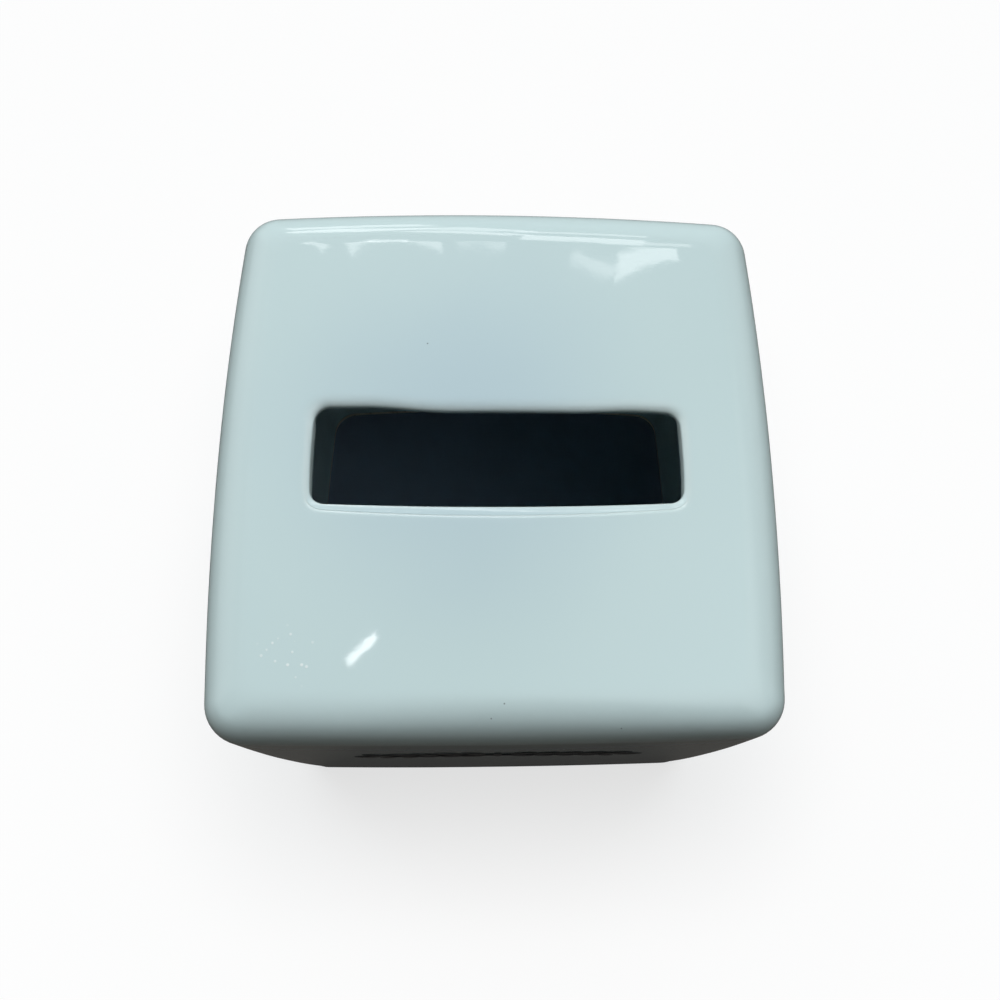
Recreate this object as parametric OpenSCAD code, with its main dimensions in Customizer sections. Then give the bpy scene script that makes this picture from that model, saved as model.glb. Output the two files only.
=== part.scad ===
// Cube tissue box cover: a one-piece slip-cast ceramic pot that goes, open side down, over a
// cube of tissues, which are pulled up through a slot in its top.
// Millimetres, +Z up, front towards -Y. The origin is on the surface that the cover stands on,
// under the middle of its walls.

/* [Cover] */
// Width over the bowed sides, at half height
cover_w = 140; // [124:1:170]
// Depth over the bowed front and back, at half height
cover_d = 140; // [124:1:170]
// Height from the standing surface to the crown of the top
cover_h = 140; // [100:1:180]
// How far the left, right and back sides bow out past their own corners
side_bow = 2; // [0.5:0.25:4]
// How far the flatter front bows out past its own corners
front_bow = 0.6; // [0.2:0.1:4]
// How far each side swells out at half height past its foot and its shoulder
side_swell = 0.8; // [0.2:0.1:3]
// How much each side leans in from the foot to the shoulder
side_lean = 0.4; // [0:0.1:1.5]
// Radius of the four upright corners
corner_r = 11; // [7:0.5:16]
// Radius of the rounded edge between the sides and the top
edge_r = 11; // [9:0.5:18]
// Radius that the corners keep where the rounded edge meets the top
top_corner_r = 5; // [3:0.5:6]
// How far the middle of the top stands above its rim
top_crown = 0.8; // [0:0.1:2]

/* [Clay] */
// Thickness of the fired clay in the walls
wall_t = 5.2; // [4:0.1:7]
// Thickness of the fired clay in the top
top_t = 5.2; // [4:0.1:8]
// Thickness of the glaze on each face of the clay
glaze_t = 0.4; // [0.2:0.05:0.6]
// Radius of the upright corners inside, where the slip builds up thicker
inner_corner_r = 8; // [5:0.5:12]
// Radius of the hollow edge under the top, inside
inner_edge_r = 7; // [4:0.5:12]
// Height of the unglazed band above the foot
bare_h = 3; // [1.5:0.5:8]
// Radius of the sponged edges of the foot
foot_edge_r = 0.7; // [0.3:0.1:1.2]

/* [Slot] */
// Length of the slot, left to right
slot_l = 88.5; // [60:0.5:92]
// Width of the slot at its middle, front to back
slot_w = 24.3; // [14:0.1:45]
// Radius of the corners of the slot
slot_corner_r = 3.5; // [2:0.25:6]
// How far the front edge of the slot bows out
slot_front_bow = 0.7; // [0.1:0.1:2]
// How far the back edge of the slot bows out
slot_back_bow = 0.1; // [0.1:0.1:2]
// How far the short ends of the slot bow out
slot_end_bow = 0.2; // [0.1:0.1:1]
// Radius of the roll from the top down into the slot
slot_lip_r = 2.2; // [1:0.1:3]
// Radius of the roll from the slot out to the underside of the top
slot_under_r = 1.6; // [1:0.1:2.4]
// How far the slot lies in front of the middle of the top
slot_forward = 2.4; // [0:0.1:8]

/* [Foot pads] */
// Diameter of a pad
pad_d = 5.5; // [4:0.5:6]
// Thickness of a pad, which is how far it lifts the clay
pad_h = 1.5; // [1:0.1:3]
// Radius of the lower edge of a pad
pad_edge_r = 0.5; // [0.2:0.1:0.8]

/* [Sprig] */
// Length of the sprig along the front, without the leaves past its ends
sprig_l = 58; // [40:1:80]
// Height of the ends of the sprig above the standing surface
sprig_z = 96; // [50:1:102]
// How far the middle of the sprig arches above its ends
sprig_arch = 5; // [0:0.5:10]
// Width of the trailed stem
stem_w = 1.1; // [0.6:0.1:2]
// Length of a leaf
leaf_l = 9; // [5:0.5:14]
// Width of a leaf
leaf_w = 2.8; // [1.6:0.2:4]
// Clear distance from the stem to the root of a leaf
leaf_gap = 0.6; // [0.3:0.1:1.5]
// Diameter of a berry
berry_d = 2.4; // [1.5:0.1:4]
// Pairs of leaves on each half of the sprig
leaf_pairs = 5; // [2:1:7]
// How far the decoration stands proud of the glaze
relief_t = 0.45; // [0.2:0.05:0.8]

/* [Hidden] */

// Finished wall and finished top, with glaze on both faces
skin_w = wall_t + 2 * glaze_t;
skin_top = top_t + 2 * glaze_t;
// Heights of the clay foot, the glaze line and the rim of the top, and of the centres of the
// rounded edge and of the hollow edge inside
foot_z = pad_h;
glaze_line_z = foot_z + bare_h;
rim_z = cover_h - top_crown;
edge_z = rim_z - edge_r;
hollow_z = rim_z - skin_top - inner_edge_r;
// Inset of the flat top from the size at half height, and the half sizes of that top
rim_in = side_lean / 2 + side_swell + edge_r;
rim_half_w = cover_w / 2 - rim_in;
rim_half_d = cover_d / 2 - rim_in;
// The upright arc of a swelling side: its middle height, its radius, and the slope at which it
// runs smoothly into the rounded edge
swell_z = (foot_z + edge_z) / 2;
swell_r = side_r(side_swell, edge_r, edge_z - swell_z);
swell_a = asin((edge_z - swell_z) / (swell_r - edge_r));
shoulder_z = swell_z + swell_r * sin(swell_a);
// Inset of the flat ceiling inside its hollow edge
hollow_in = skin_w + side_in(hollow_z) + inner_edge_r;

// Steps of the mesh: along half a side, round a corner, up a wall, over the rounded edge,
// across the top, over the slot's lips, under the top, round the hollow edge and the foot
side_n = 4;
corner_n = 6;
wall_n = 6;
edge_n = 6;
top_n = 4;
lip_n = 4;
under_n = 3;
ceiling_n = 2;
hollow_n = 4;
foot_n = 2;
// Steps along a leaf and along the stem
leaf_n = 6;
stem_n = 24;
// Steps round the lower edge of a pad, and its smoothness
pad_edge_n = 4;
pad_fn = 48;
// Angle of the leaves to the stem, and where along a leaf it is widest: 1 is its middle
leaf_angle = 38;
leaf_full_share = 0.8;

// Inset of a side from the size at half height, at height z, from its swell and its lean
function side_in(z) = swell_r - sqrt(pow(swell_r, 2) - pow(z - swell_z, 2))
    + side_lean * (z - swell_z) / (edge_z - foot_z);

// Radius of the wide arc that bows out a side by bow and runs smoothly into corner arcs of
// radius r, whose centres lie across to each side of its middle
function side_r(bow, r, across) =
    (pow(bow + r, 2) + pow(across, 2) - pow(r, 2)) / (2 * bow);

// A quarter of a rounded rectangle with bowed sides, from the middle of +X to the middle of +Y
function quarter(hx, hy, r, bow_x, bow_y) =
    let (cx = hx - bow_x - r, cy = hy - bow_y - r,
         rx = side_r(bow_x, r, cy), ry = side_r(bow_y, r, cx),
         ax = asin(cy / (rx - r)), ay = asin(cx / (ry - r)))
    concat(
        [for (j = [0:side_n - 1]) let (a = ax * j / side_n)
            [hx - rx + rx * cos(a), rx * sin(a)]],
        [for (j = [0:corner_n]) let (a = ax + (90 - ax - ay) * j / corner_n)
            [cx + r * cos(a), cy + r * sin(a)]],
        [for (j = [1:side_n]) let (a = ay * (1 - j / side_n))
            [ry * sin(a), hy - ry + ry * cos(a)]]);

// The whole rounded rectangle from the quarters of its back half and of its front half
function outline(back, front) = let (n = len(back) - 1) concat(
    [for (j = [0:n - 1]) back[j]],
    [for (j = [n:-1:1]) [-back[j][0], back[j][1]]],
    [for (j = [0:n - 1]) -front[j]],
    [for (j = [n:-1:1]) [front[j][0], -front[j][1]]]);

// Outline of the cover set in from its size at half height, with corners of radius r
function cover_quarter(inset, r, bow) =
    quarter(cover_w / 2 - inset, cover_d / 2 - inset, r, side_bow, bow);
function cover_line(inset, r) =
    outline(cover_quarter(inset, r, side_bow), cover_quarter(inset, r, front_bow));

// Outline of the outside, and of the inside with its corners rounder by depth under the surface
function outside(inset) = cover_line(inset, max(corner_r - inset, top_corner_r));
function inside(inset, depth) = cover_line(inset, inner_corner_r + depth);

// A quarter of the slot, grown by out, and its whole outline
function slot_quarter(out, bow) =
    quarter(slot_l / 2 + out, slot_w / 2 + out, slot_corner_r + out, slot_end_bow, bow);
function slot(out) = [for (p = outline(slot_quarter(out, slot_back_bow),
    slot_quarter(out, slot_front_bow))) [p[0], p[1] - slot_forward]];

// Height of the top's surface: level at its rim and raised to a low crown in the middle
function crown_z(p) = rim_z + top_crown
    * pow(1 - min(pow(p[0] / rim_half_w, 2), 1), 2)
    * pow(1 - min(pow(p[1] / rim_half_d, 2), 1), 2);

// A ring of points: an outline at one height, or following the top
function ring_at(line, z) = [for (p = line) [p[0], p[1], z]];
function ring_on_top(line, z) = [for (p = line) [p[0], p[1], crown_z(p) + z]];
function blend_line(from, to, share) =
    [for (i = [0:len(from) - 1]) from[i] * (1 - share) + to[i] * share];

// Rings of the finished surface, or of the surface at depth g under it, in order: up the
// outside, over the rounded edge, across the top, down through the slot, across the underside,
// round the hollow edge and down the inside to the glaze line
function surface_rings(g) = concat(
    [for (j = [0:wall_n - 1]) let (z = glaze_line_z + (shoulder_z - glaze_line_z) * j / wall_n)
        ring_at(outside(side_in(z) + g), z)],
    [for (j = [0:edge_n]) let (a = swell_a + (90 - swell_a) * j / edge_n, r = edge_r - g)
        ring_at(outside(rim_in - r * cos(a)), edge_z + r * sin(a))],
    [for (j = [1:top_n])
        ring_on_top(blend_line(outside(rim_in), slot(slot_lip_r), j / top_n), -g)],
    [for (j = [1:lip_n]) let (a = 90 * j / lip_n, r = slot_lip_r - g)
        ring_on_top(slot(slot_lip_r - r * sin(a)), r * cos(a) - slot_lip_r)],
    [for (j = [0:under_n]) let (a = 90 * j / under_n, r = slot_under_r - g)
        ring_on_top(slot(slot_under_r - r * cos(a)), slot_under_r - r * sin(a) - skin_top)],
    [for (j = [1:ceiling_n])
        ring_on_top(blend_line(slot(slot_under_r), inside(hollow_in, 0), j / ceiling_n),
            g - skin_top)],
    [for (j = [1:hollow_n]) let (a = 90 * j / hollow_n, r = inner_edge_r + g)
        ring_at(inside(hollow_in - r * sin(a), g * sin(a)), hollow_z + r * cos(a))],
    [for (j = [1:wall_n]) let (z = hollow_z - (hollow_z - glaze_line_z) * j / wall_n)
        ring_at(inside(skin_w + side_in(z) - g, g), z)]);

// Rings of the bare clay foot, from inside to outside, with sponged edges
foot_rings = concat(
    [for (j = [0:foot_n]) let (a = 90 * j / foot_n)
        ring_at(inside(skin_w + side_in(foot_z) - glaze_t - foot_edge_r * (1 - cos(a)), glaze_t),
            foot_z + foot_edge_r * (1 - sin(a)))],
    [for (j = [0:foot_n]) let (a = 90 * j / foot_n)
        ring_at(outside(side_in(foot_z) + glaze_t + foot_edge_r * (1 - sin(a))),
            foot_z + foot_edge_r * (1 - cos(a)))]);

// Closed skin through a loop of rings. From ring turn on, the squares are split the other way,
// so that two pieces that share rings share their triangles too.
module ring_loop(rings, turn) {
    m = len(rings);
    n = len(rings[0]);
    faces = [for (i = [0:m - 1], j = [0:n - 1])
        let (a = i * n + j, b = i * n + (j + 1) % n,
             c = (i + 1) % m * n + (j + 1) % n, d = (i + 1) % m * n + j)
        each i < turn ? [[a, c, b], [a, d, c]] : [[a, d, b], [b, d, c]]];
    polyhedron([for (ring = rings) each ring], faces);
}

module clay_body() {
    rings = concat(surface_rings(glaze_t), foot_rings);
    color("#d9d2c4") ring_loop(rings, len(rings));
}

module glaze_coat() {
    outer = surface_rings(0);
    inner = surface_rings(glaze_t);
    n = len(outer);
    color("#cfdfe0") ring_loop(concat(outer, [for (i = [n - 1:-1:0]) inner[i]]), n);
}

// A point on the glazed front at x and z, standing proud of it by out
function on_front(x, z, out) =
    let (inset = side_in(z), half = cover_d / 2 - inset,
         r = side_r(front_bow, corner_r - inset, cover_w / 2 - side_bow - corner_r))
    [x, r - half - out - sqrt(pow(r, 2) - pow(x, 2)), z];

// A trailed stroke of slip on the front. Each station is its place in x and z, the direction of
// its left side, its half width and its height. It starts and ends in a point.
module stroke(first, stations, last) {
    n = len(stations);
    points = concat([on_front(first[0], first[1], 0)],
        [for (s = stations) each [
            on_front(s[0] + s[2] * s[4], s[1] + s[3] * s[4], 0),
            on_front(s[0], s[1], s[5]),
            on_front(s[0] - s[2] * s[4], s[1] - s[3] * s[4], 0)]],
        [on_front(last[0], last[1], 0)]);
    end = len(points) - 1;
    faces = concat(
        [[0, 1, 2], [0, 2, 3], [0, 3, 1]],
        [for (i = [0:n - 2]) let (a = 1 + 3 * i, b = a + 3) each [
            [a, b, b + 1], [a, b + 1, a + 1],
            [a + 1, b + 1, b + 2], [a + 1, b + 2, a + 2],
            [a + 2, b + 2, b], [a + 2, b, a]]],
        [[end, end - 2, end - 3], [end, end - 1, end - 2], [end, end - 3, end - 1]]);
    polyhedron(points, faces);
}

// Height and slope of the stem at x
function stem_z(x) = sprig_z + sprig_arch * (1 - pow(2 * x / sprig_l, 2));
function stem_slope(x) = atan(-8 * sprig_arch * x / pow(sprig_l, 2));

// A leaf whose root is at x and z, pointing along angle, fuller towards its root
module leaf(x, z, angle) {
    along = [cos(angle), sin(angle)];
    stroke([x, z],
        [for (j = [1:leaf_n - 1]) let (s = j / leaf_n, swell = sin(180 * pow(s, leaf_full_share)))
            [x + along[0] * leaf_l * s, z + along[1] * leaf_l * s, -along[1], along[0],
             leaf_w / 2 * swell, relief_t * sqrt(swell)]],
        [x + along[0] * leaf_l, z + along[1] * leaf_l]);
}

// The leaf on one side of the stem at x, on the half of the sprig that way gives as 1 or -1.
// Its root is clear of the stem, and up is 1 above the stem and -1 below it.
module stem_leaf(x, way, up) {
    slope = stem_slope(x);
    off = stem_w / 2 + leaf_gap;
    angle = slope + up * leaf_angle;
    leaf(way * (x - up * off * sin(slope)), stem_z(x) + up * off * cos(slope),
        way > 0 ? angle : 180 - angle);
}

// A round berry on the front
module berry(x, z) {
    r = berry_d / 2;
    stroke([x - r, z],
        [for (j = [1:leaf_n - 1]) let (a = 180 * j / leaf_n)
            [x - r * cos(a), z, 0, 1, r * sin(a), relief_t * sqrt(sin(a))]],
        [x + r, z]);
}

module front_sprig() {
    half = sprig_l / 2;
    color("#1d2022") {
        stroke([-half, stem_z(-half)],
            [for (j = [1:stem_n - 1]) let (x = sprig_l * (j / stem_n - 1 / 2), a = stem_slope(x))
                [x, stem_z(x), -sin(a), cos(a), stem_w / 2, relief_t]],
            [half, stem_z(half)]);
        for (way = [-1, 1]) {
            for (i = [1:leaf_pairs], up = [-1, 1])
                stem_leaf(half * (i - 1 / 2) / leaf_pairs, way, up);
            leaf(way * (half + leaf_gap), stem_z(half),
                way > 0 ? stem_slope(half) : 180 - stem_slope(half));
        }
        for (up = [-1, 1])
            berry(0, stem_z(0) + up * (stem_w / 2 + leaf_gap + berry_d / 2));
    }
}

// Middle of the foot in a corner, halfway between the clay's outer and inner corner arcs, from
// half the cover's size and from how far the side bows out past that corner
function foot_corner(half, bow) =
    let (outer_r = corner_r - side_in(foot_z) - glaze_t, inner_r = inner_corner_r + glaze_t,
         outer = half - bow - corner_r + outer_r * cos(45),
         inner = half - side_in(foot_z) - skin_w - bow - inner_corner_r + inner_r * cos(45))
    (outer + inner) / 2;

// A soft pad stuck under the foot in the corner on the sides that way_x and way_y give
module foot_pad(way_x, way_y) {
    color("#e6e8e6")
    translate([way_x * foot_corner(cover_w / 2, side_bow),
               way_y * foot_corner(cover_d / 2, way_y > 0 ? side_bow : front_bow), 0])
    rotate_extrude($fn = pad_fn)
        polygon(concat([[0, pad_h], [0, 0]],
            [for (j = [0:pad_edge_n]) let (a = 90 * j / pad_edge_n)
                [pad_d / 2 - pad_edge_r * (1 - sin(a)), pad_edge_r * (1 - cos(a))]],
            [[pad_d / 2, pad_h]]));
}
module foot_pad_front_left() foot_pad(-1, -1);
module foot_pad_front_right() foot_pad(1, -1);
module foot_pad_back_left() foot_pad(-1, 1);
module foot_pad_back_right() foot_pad(1, 1);

clay_body();
glaze_coat();
front_sprig();
foot_pad_front_left();
foot_pad_front_right();
foot_pad_back_left();
foot_pad_back_right();
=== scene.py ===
import math

import bpy
import numpy as np
from mathutils import Matrix, Vector


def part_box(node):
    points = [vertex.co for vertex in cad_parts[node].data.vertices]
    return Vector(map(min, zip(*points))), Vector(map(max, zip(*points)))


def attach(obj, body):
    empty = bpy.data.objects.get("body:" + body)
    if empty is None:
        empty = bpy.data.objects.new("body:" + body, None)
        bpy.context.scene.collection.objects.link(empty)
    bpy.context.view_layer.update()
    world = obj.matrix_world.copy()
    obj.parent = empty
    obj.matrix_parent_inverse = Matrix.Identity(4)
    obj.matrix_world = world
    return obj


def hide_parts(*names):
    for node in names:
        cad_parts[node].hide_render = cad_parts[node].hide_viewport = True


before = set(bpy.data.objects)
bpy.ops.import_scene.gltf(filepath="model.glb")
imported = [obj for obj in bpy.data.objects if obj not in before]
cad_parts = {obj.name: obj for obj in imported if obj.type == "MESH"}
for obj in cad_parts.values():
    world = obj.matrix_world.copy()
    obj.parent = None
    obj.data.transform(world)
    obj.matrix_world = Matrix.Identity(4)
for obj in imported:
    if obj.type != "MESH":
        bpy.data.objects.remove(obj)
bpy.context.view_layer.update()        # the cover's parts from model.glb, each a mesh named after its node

scene = bpy.context.scene
scene.view_settings.view_transform = "Standard"


# The clay body. The real piece is one pot of white earthenware, slip cast in a plaster mould: the
# clay settles on the mould in an even wall, so the outside is crisp and the inside follows it with
# softer corners. The foot is wiped with a wet sponge and stays bare, so that it can't stick in the kiln.

MM = 0.001
glaze_low, glaze_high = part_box("glaze_coat")
foot_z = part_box("foot_pad_front_left")[1].z
half_width = (glaze_high.x - glaze_low.x) / 2
half_depth = (glaze_high.y - glaze_low.y) / 2

side_bow, front_bow = 2 * MM, 0.6 * MM     # how far a side bows out past its corners
side_swell = 0.8 * MM        # and how far it swells out at half height
side_lean = 0.4 * MM         # and how far it leans in from the foot to the rounded edge
corner_r = 11 * MM
edge_r = 11 * MM
top_corner_r = 5 * MM
# The front edge is squarer than a round one towards its ends, and more so on the right.
front_edge_square, square_slope, square_left, square_right = 0.45, 1.45, -0.7, 1.1
front_share = 0.9            # share of the depth past which a point lies on the front
top_crown = 0.8 * MM
skin_wall = 6 * MM           # finished wall and top, glaze included
skin_top = 6 * MM
glaze_t = 0.4 * MM
inner_corner_r = 8 * MM
inner_edge_r = 7 * MM
foot_edge_r = 0.7 * MM
slot_half_l = 44.55 * MM
slot_half_w = 11.97 * MM
slot_corner_r = 3.5 * MM
slot_front_bow = 0.9 * MM
slot_back_bow = 0.1 * MM
slot_end_bow = 0.2 * MM
slot_forward = 2.98 * MM
slot_edge_r = 0.6 * MM       # the crisp edge that the knife left
# Where the knife wandered as the back edge of the slot was cut: wide from the left end to a step that
# lies between two places, and a shallow dip on the right.
slot_wide, slot_wide_from, slot_wide_to = 1.38 * MM, -12 * MM, -33 * MM
slot_dip, slot_dip_x, slot_dip_reach = 0.43 * MM, 33 * MM, 8 * MM
# How the lip tips over from the top before that edge, at the back, the ends and the front of the slot:
# three angles that it reaches, the length that each takes, and the radius of the roll to the underside.
# At the front the glaze drew back from the edge, which left a small step and a thin, nearly level band.
lip_tips = np.radians([[16, 34, 52], [20, 32, 38], [22, 6, 14]])
lip_lengths = np.array([[1.8, 0.75, 0.75], [1.0, 0.5, 0.4], [0.3, 0.3, 1.75]]) * MM
lip_under_r = np.array([[4.3], [1.6], [1.6]]) * MM
lip_band_end = 0.6           # share of the band's width that is left at its two ends
lip_turn_from, lip_turn_over = 0.72, 0.2     # where the ends' lip turns into that of the long sides
lip_bend_most, under_bend = 1 / (1.5 * MM), 1 / (2 * MM)
collar_out = 6 * MM          # a ring round the slot that keeps the rings on both sides of it even
line_run, line_run_reach = 0.35 * MM, 6 * MM     # how unevenly the glaze ran down, and how far up it shows
line_crowding = 1.7          # brings the rings close together at the glaze line

glaze_line_z = glaze_low.z
cover_top = glaze_high.z
rim_z = cover_top - top_crown
edge_z = rim_z - edge_r
hollow_z = rim_z - skin_top - inner_edge_r
rim_in = side_lean / 2 + side_swell + edge_r
rim_half = np.array([half_width - rim_in, half_depth - rim_in])
swell_z = (foot_z + edge_z) / 2

SIDE_STEPS, CORNER_STEPS = 24, 12
WALL_STEPS, EDGE_STEPS, TOP_STEPS, COLLAR_STEPS, LIP_STEPS, UNDER_STEPS = 34, 20, 22, 6, 4, 8
CEILING_STEPS, HOLLOW_STEPS, FOOT_STEPS = 8, 10, 5


def bow_radius(bow, r, across):
    """Radius of the wide arc that bows a side out and runs smoothly into corner arcs of radius r."""
    return ((bow + r) ** 2 + across ** 2 - r ** 2) / (2 * bow)


def arc(centre, r, start, end, steps):
    """Points on an arc about a centre, from one angle to another."""
    a = np.linspace(start, end, steps + 1)
    return np.c_[centre[0] + r * np.cos(a), centre[1] + r * np.sin(a)]


def quarter(half_x, half_y, r, bow_x, bow_y):
    """A quarter of a rounded rectangle with bowed sides, from the middle of +X to that of +Y."""
    cx, cy = half_x - bow_x - r, half_y - bow_y - r
    rx, ry = bow_radius(bow_x, r, cy), bow_radius(bow_y, r, cx)
    ax, ay = math.asin(cy / (rx - r)), math.asin(cx / (ry - r))
    return np.vstack([
        arc((half_x - rx, 0), rx, 0, ax, SIDE_STEPS)[:-1],
        arc((cx, cy), r, ax, math.pi / 2 - ay, CORNER_STEPS),
        arc((0, half_y - ry), ry, math.pi / 2 - ay, math.pi / 2, SIDE_STEPS)[1:]])


def outline(back, front):
    """The whole rounded rectangle from the quarters of its back half and of its front half."""
    n = len(back) - 1
    return np.vstack([back[:n], (back * [-1, 1])[n:0:-1], -front[:n], (front * [1, -1])[n:0:-1]])


def cover_line(inset, r):
    return outline(*(quarter(half_width - inset, half_depth - inset, r, side_bow, bow)
                     for bow in (side_bow, front_bow)))


def outside(inset):
    return cover_line(inset, max(corner_r - inset, top_corner_r))


def inside(inset, depth):
    return cover_line(inset, inner_corner_r + depth)


def slot(out):
    """Outline of the slot, grown by out, with the wander of its back edge."""
    back, front = (quarter(slot_half_l + out, slot_half_w + out, slot_corner_r + out, slot_end_bow, bow)
                   for bow in (slot_back_bow, slot_front_bow))
    line = outline(back, front) - [0, slot_forward]
    step = np.clip((line[:, 0] - slot_wide_from) / (slot_wide_to - slot_wide_from), 0, 1)
    dip = np.exp(-((line[:, 0] - slot_dip_x) / slot_dip_reach) ** 2)
    wander = slot_wide * step ** 2 * (3 - 2 * step) + slot_dip * dip
    line[:, 1] += wander * np.clip((line[:, 1] + slot_forward) / slot_half_w, 0, 1)
    return line


def slot_lip():
    """How the lip goes down into the slot from the top, at each step and each point of the slot: how
    far it has tipped over, how far it lies outside the edge, how far below the top and how sharply it
    bends. With the radius of the roll to the underside."""
    edge = slot(0)
    side = (edge[:, 1] + slot_forward) / slot_half_w
    near = np.clip((abs(side) - lip_turn_from) / lip_turn_over, 0, 1)[:, None]
    long_share = near ** 2 * (3 - 2 * near)

    def along(places):
        back, end, front = places
        return (end + long_share * (np.where(side[:, None] > 0, back, front) - end)).T

    from_middle = np.where(side > 0, 0, edge[:, 0] / slot_half_l) * long_share[:, 0]
    narrowing = 1 - (1 - lip_band_end) * from_middle ** 2
    tips, lengths, under_r = along(lip_tips), along(lip_lengths) * narrowing, along(lip_under_r)[0]
    tips = np.vstack([np.zeros(len(side)), tips, np.full(len(side), math.pi / 2)])
    lengths = np.vstack([lengths, slot_edge_r * (tips[4] - tips[3])])
    tip = np.vstack([tips[:1]] + [np.linspace(a, b, LIP_STEPS + 1)[1:] for a, b in zip(tips, tips[1:])])
    steps = np.repeat(lengths, LIP_STEPS, axis=0) / LIP_STEPS
    between, bend = (tip[1:] + tip[:-1]) / 2, np.clip(np.diff(tip, axis=0) / steps, 0, lip_bend_most)
    start = np.zeros((1, len(side)))
    inward = np.vstack([start, np.cumsum(steps * np.cos(between), axis=0)])
    down = np.vstack([start, np.cumsum(steps * np.sin(between), axis=0)])
    return tip, inward[-1] - inward, down, bend, under_r


def crown_z(line):
    """Height of the crowned top at the points of a line."""
    rise = (1 - np.clip(line / rim_half, -1, 1) ** 2) ** 2
    return rim_z + top_crown * rise[:, 0] * rise[:, 1]


swell_r = bow_radius(side_swell, edge_r, edge_z - swell_z)
swell_a = math.asin((edge_z - swell_z) / (swell_r - edge_r))
shoulder_z = swell_z + swell_r * math.sin(swell_a)


def side_in(z):
    """Inset of a side at height z, from its swell and its lean."""
    return (swell_r - math.sqrt(swell_r ** 2 - (z - swell_z) ** 2)
            + side_lean * (z - swell_z) / (edge_z - foot_z))


hollow_in = skin_wall + side_in(hollow_z) + inner_edge_r


def clay_rings():
    """Rings of points round the clay, up the outside, through the slot, down the inside and round the
    foot, with how sharply each bends outwards (1 / radius) and whether glaze lies on it."""
    g = glaze_t
    rings, bends, glazed = [], [], []

    def ring(line, z, bend=0.0, under_glaze=True):
        rings.append(np.c_[line, np.broadcast_to(z, len(line))])
        bends.append(np.broadcast_to(bend, len(line)))
        glazed.append(under_glaze)

    def spread(start, end, steps, above):
        for share in np.arange(1, steps + 1) / steps:
            line = start * (1 - share) + end * share
            ring(line, crown_z(line) + above)

    shares = (np.arange(WALL_STEPS) / WALL_STEPS) ** line_crowding
    for share in shares:
        z = glaze_line_z + (shoulder_z - glaze_line_z) * share
        ring(outside(side_in(z) + g), z)
    rim, r = outside(rim_in), edge_r - g
    to_shoulder = outside(rim_in - r) - rim
    in_front = np.clip((-rim[:, 1] / rim_half[1] - front_share) / (1 - front_share), 0, 1)
    to_end = np.clip(rim[:, 0] / rim_half[0] * square_slope, square_left, square_right)
    power = 2 / (2 + front_edge_square * in_front * to_end ** 2)
    for a in np.linspace(swell_a, math.pi / 2, EDGE_STEPS + 1):
        squarer = max(math.cos(a), 0) ** power - math.cos(a)
        ring(outside(rim_in - r * math.cos(a)) + to_shoulder * squarer[:, None],
             edge_z + r * math.sin(a) ** power, 1 / edge_r)
    tips, outs, downs, lip_bends, under_r = slot_lip()
    edge = slot(0)
    outward = (slot(1 * MM) - edge) / (1 * MM)
    collar = slot(collar_out)
    spread(rim, collar, TOP_STEPS, -g)
    spread(collar, edge + outward * outs[0][:, None], COLLAR_STEPS, -g)
    for tip, out, down, bend in zip(tips[1:], outs[1:], downs[1:], lip_bends):
        line = edge + outward * (out + g * np.sin(tip))[:, None]
        ring(line, crown_z(line) - down - g * np.cos(tip), bend)
    for a in np.linspace(0, math.pi / 2, UNDER_STEPS + 1):
        line = edge + outward * (under_r - (under_r - g) * math.cos(a))[:, None]
        ring(line, crown_z(line) + under_r - (under_r - g) * math.sin(a) - skin_top, under_bend)
    spread(edge + outward * under_r[:, None], collar, COLLAR_STEPS, g - skin_top)
    spread(collar, inside(hollow_in, 0), CEILING_STEPS, g - skin_top)
    for a in np.linspace(0, math.pi / 2, HOLLOW_STEPS + 1)[1:]:
        r = inner_edge_r + g
        ring(inside(hollow_in - r * math.sin(a), g * math.sin(a)), hollow_z + r * math.cos(a),
             -1 / inner_edge_r)
    for share in shares[::-1]:
        z = glaze_line_z + (hollow_z - glaze_line_z) * share
        ring(inside(skin_wall + side_in(z) - g, g), z)
    foot = side_in(foot_z)
    for a in np.linspace(0, math.pi / 2, FOOT_STEPS + 1):
        ring(inside(skin_wall + foot - g - foot_edge_r * (1 - math.cos(a)), g),
             foot_z + foot_edge_r * (1 - math.sin(a)), under_glaze=False)
    for a in np.linspace(0, math.pi / 2, FOOT_STEPS + 1):
        ring(outside(foot + g + foot_edge_r * (1 - math.sin(a))),
             foot_z + foot_edge_r * (1 - math.cos(a)), under_glaze=False)
    return np.array(rings), np.array(bends), np.array(glazed)


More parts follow.
